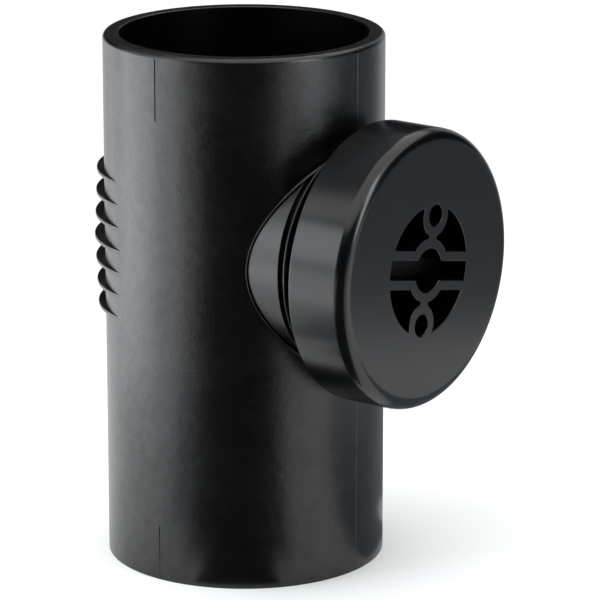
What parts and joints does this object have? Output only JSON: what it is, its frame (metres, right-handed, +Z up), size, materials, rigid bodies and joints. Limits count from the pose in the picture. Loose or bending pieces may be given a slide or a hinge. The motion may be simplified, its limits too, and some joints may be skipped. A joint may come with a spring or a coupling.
{
  "type": "cleanout pipe",
  "caption": "Upright black drainage pipe piece with plain ends for welding, curved stiffening fins on the back, and a short side branch closed by a round screw cap with a tool recess.",
  "frame": {"origin": "centre of the lower pipe end, on the pipe's axis", "axes": "+Z up along the pipe's axis, +X along the branch's axis and out of the screw cap, +Y to the right when the cap is seen from the front"},
  "size_m": [0.1499, 0.11, 0.21],
  "materials": {
    "pipe": "satin black polyethylene with a soft sheen and faint mould marks",
    "cap": "smooth satin black polyethylene, a little glossier on the rounded edge",
    "seal": "dull black rubber"
  },
  "bodies": {
    "pipe": {"pipe_body": "pipe"},
    "seal": {"seal_ring": "seal"},
    "cap": {"screw_cap": "cap"}
  },
  "joints": [
    {"name": "cap_travel", "type": "slide", "parent": "pipe", "child": "seal", "axis": [1, 0, 0], "range_m": [0, 0.0201]},
    {"name": "cap_turn", "type": "hinge", "parent": "seal", "child": "cap", "pos_m": [0.0628, 0, 0.128], "axis": [1, 0, 0], "range_deg": [0, 1440]}
  ],
  "couplings": [
    {"joint": "cap_travel", "follows": "cap_turn", "m_per_rad": 0.00079577}
  ]
}
